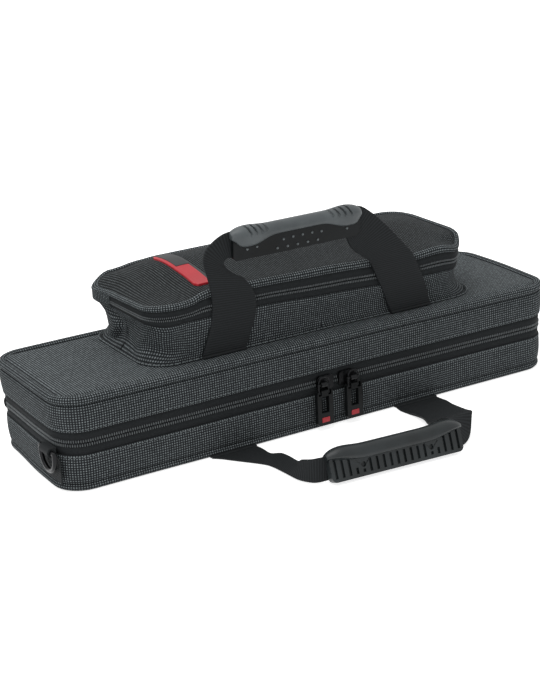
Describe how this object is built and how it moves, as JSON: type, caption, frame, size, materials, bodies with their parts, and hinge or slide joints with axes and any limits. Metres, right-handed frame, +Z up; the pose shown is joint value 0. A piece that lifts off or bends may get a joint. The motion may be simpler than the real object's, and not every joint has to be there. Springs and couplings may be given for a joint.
{
  "type": "flute case",
  "caption": "Soft zippered case for a flute in joints: padded base and lid, a lid pocket with its own zip flap, webbing handles with rubber grips, and rings for a strap.",
  "frame": {"origin": "centre of the case's underside, on the surface it stands on", "axes": "+X along the case's length to the right as seen from the front, +Y to the hinge at the back, +Z up"},
  "size_m": [0.4418, 0.2302, 0.1643],
  "materials": {
    "cover_fabric": "woven salt-and-pepper nylon, matt",
    "welt_fabric": "the same weave over a round cord, matt",
    "foam": "black closed-cell foam, matt",
    "plush": "short black plush",
    "zip_tape": "black woven zip tape, matt",
    "zip_coil": "black nylon coil, satin",
    "webbing": "ribbed black webbing, matt",
    "grip_rubber": "moulded grey rubber, matt",
    "pull_rubber": "moulded black rubber, satin",
    "black_metal": "black-plated steel, satin",
    "label_red": "moulded red rubber, satin",
    "label_black": "moulded black rubber, matt"
  },
  "bodies": {
    "base": {"base_panel": "cover_fabric", "base_band": "cover_fabric", "base_welt_cord": "welt_fabric", "base_foam": "foam", "base_insert": "plush", "zip_tape_lower": "zip_tape", "zip_coil_lower": "zip_coil", "hinge_tape_lower": "zip_tape", "d_ring_patch_left": "webbing", "d_ring_patch_right": "webbing", "d_ring_tab_left": "webbing", "d_ring_tab_right": "webbing", "bottom_strap_anchor_left": "webbing", "bottom_strap_anchor_right": "webbing"},
    "lid": {"lid_panel": "cover_fabric", "lid_band": "cover_fabric", "lid_welt_cord": "welt_fabric", "lid_foam": "foam", "lid_pad": "plush", "zip_tape_upper": "zip_tape", "zip_coil_upper": "zip_coil", "hinge_tape_upper": "zip_tape", "top_strap_anchor_left": "webbing", "top_strap_anchor_right": "webbing", "pocket_wall": "cover_fabric", "pocket_base_welt": "welt_fabric", "pocket_tape_lower": "zip_tape", "pocket_coil_lower": "zip_coil", "pocket_hinge_tape_lower": "zip_tape"},
    "flap": {"flap_panel": "cover_fabric", "flap_welt_cord": "welt_fabric", "pocket_tape_upper": "zip_tape", "pocket_coil_upper": "zip_coil", "pocket_hinge_tape_upper": "zip_tape", "label_frame": "label_red", "label_inlay": "label_black"},
    "top_handle": {"top_strap_left": "webbing", "top_strap_right": "webbing", "top_grip": "grip_rubber"},
    "bottom_handle": {"bottom_strap_left": "webbing", "bottom_strap_right": "webbing", "bottom_grip": "grip_rubber"},
    "ring_left": {"d_ring_left": "black_metal"},
    "ring_right": {"d_ring_right": "black_metal"},
    "left_slider": {"slider_left": "black_metal"},
    "left_pull": {"zip_link_left": "black_metal", "zip_pull_left": "pull_rubber"},
    "right_slider": {"slider_right": "black_metal"},
    "right_pull": {"zip_link_right": "black_metal", "zip_pull_right": "pull_rubber"},
    "pocket_zip_slider": {"pocket_slider": "black_metal"},
    "pocket_pull": {"pocket_zip_link": "black_metal", "pocket_zip_pull": "pull_rubber"}
  },
  "joints": [
    {"name": "lid_open", "type": "hinge", "parent": "base", "child": "lid", "pos_m": [0, 0.0632, 0.0355], "axis": [-1, 0, 0], "range_deg": [0, 115]},
    {"name": "flap_open", "type": "hinge", "parent": "lid", "child": "flap", "pos_m": [0.0095, 0.0582, 0.1047], "axis": [-1, 0, 0], "range_deg": [0, 110]},
    {"name": "top_handle_swing", "type": "hinge", "parent": "lid", "child": "top_handle", "pos_m": [0, -0.047, 0.07045], "axis": [1, 0, 0], "range_deg": [0, 80]},
    {"name": "bottom_handle_swing", "type": "hinge", "parent": "base", "child": "bottom_handle", "pos_m": [0, -0.065, 0.0012], "axis": [-1, 0, 0], "range_deg": [0, 70]},
    {"name": "ring_left_swing", "type": "hinge", "parent": "base", "child": "ring_left", "pos_m": [-0.21765, -0.043, 0.0299], "axis": [0, 1, 0], "range_deg": [0, 150]},
    {"name": "ring_right_swing", "type": "hinge", "parent": "base", "child": "ring_right", "pos_m": [0.21765, 0.043, 0.0299], "axis": [0, -1, 0], "range_deg": [0, 150]},
    {"name": "left_slider_run", "type": "slide", "parent": "base", "child": "left_slider", "axis": [-1, 0, 0], "range_m": [0, 0.18]},
    {"name": "left_pull_swing", "type": "hinge", "parent": "left_slider", "child": "left_pull", "pos_m": [-0.006, -0.0669, 0.0357], "axis": [-1, 0, 0], "range_deg": [0, 110]},
    {"name": "right_slider_run", "type": "slide", "parent": "base", "child": "right_slider", "axis": [1, 0, 0], "range_m": [0, 0.164]},
    {"name": "right_pull_swing", "type": "hinge", "parent": "right_slider", "child": "right_pull", "pos_m": [0.02, -0.0669, 0.0357], "axis": [-1, 0, 0], "range_deg": [0, 110]},
    {"name": "pocket_slider_run", "type": "slide", "parent": "lid", "child": "pocket_zip_slider", "axis": [0, -1, 0], "range_m": [0, 0.033]},
    {"name": "pocket_pull_swing", "type": "hinge", "parent": "pocket_zip_slider", "child": "pocket_pull", "pos_m": [0.15615, 0.015, 0.1047], "axis": [0, -1, 0], "range_deg": [0, 100]}
  ]
}
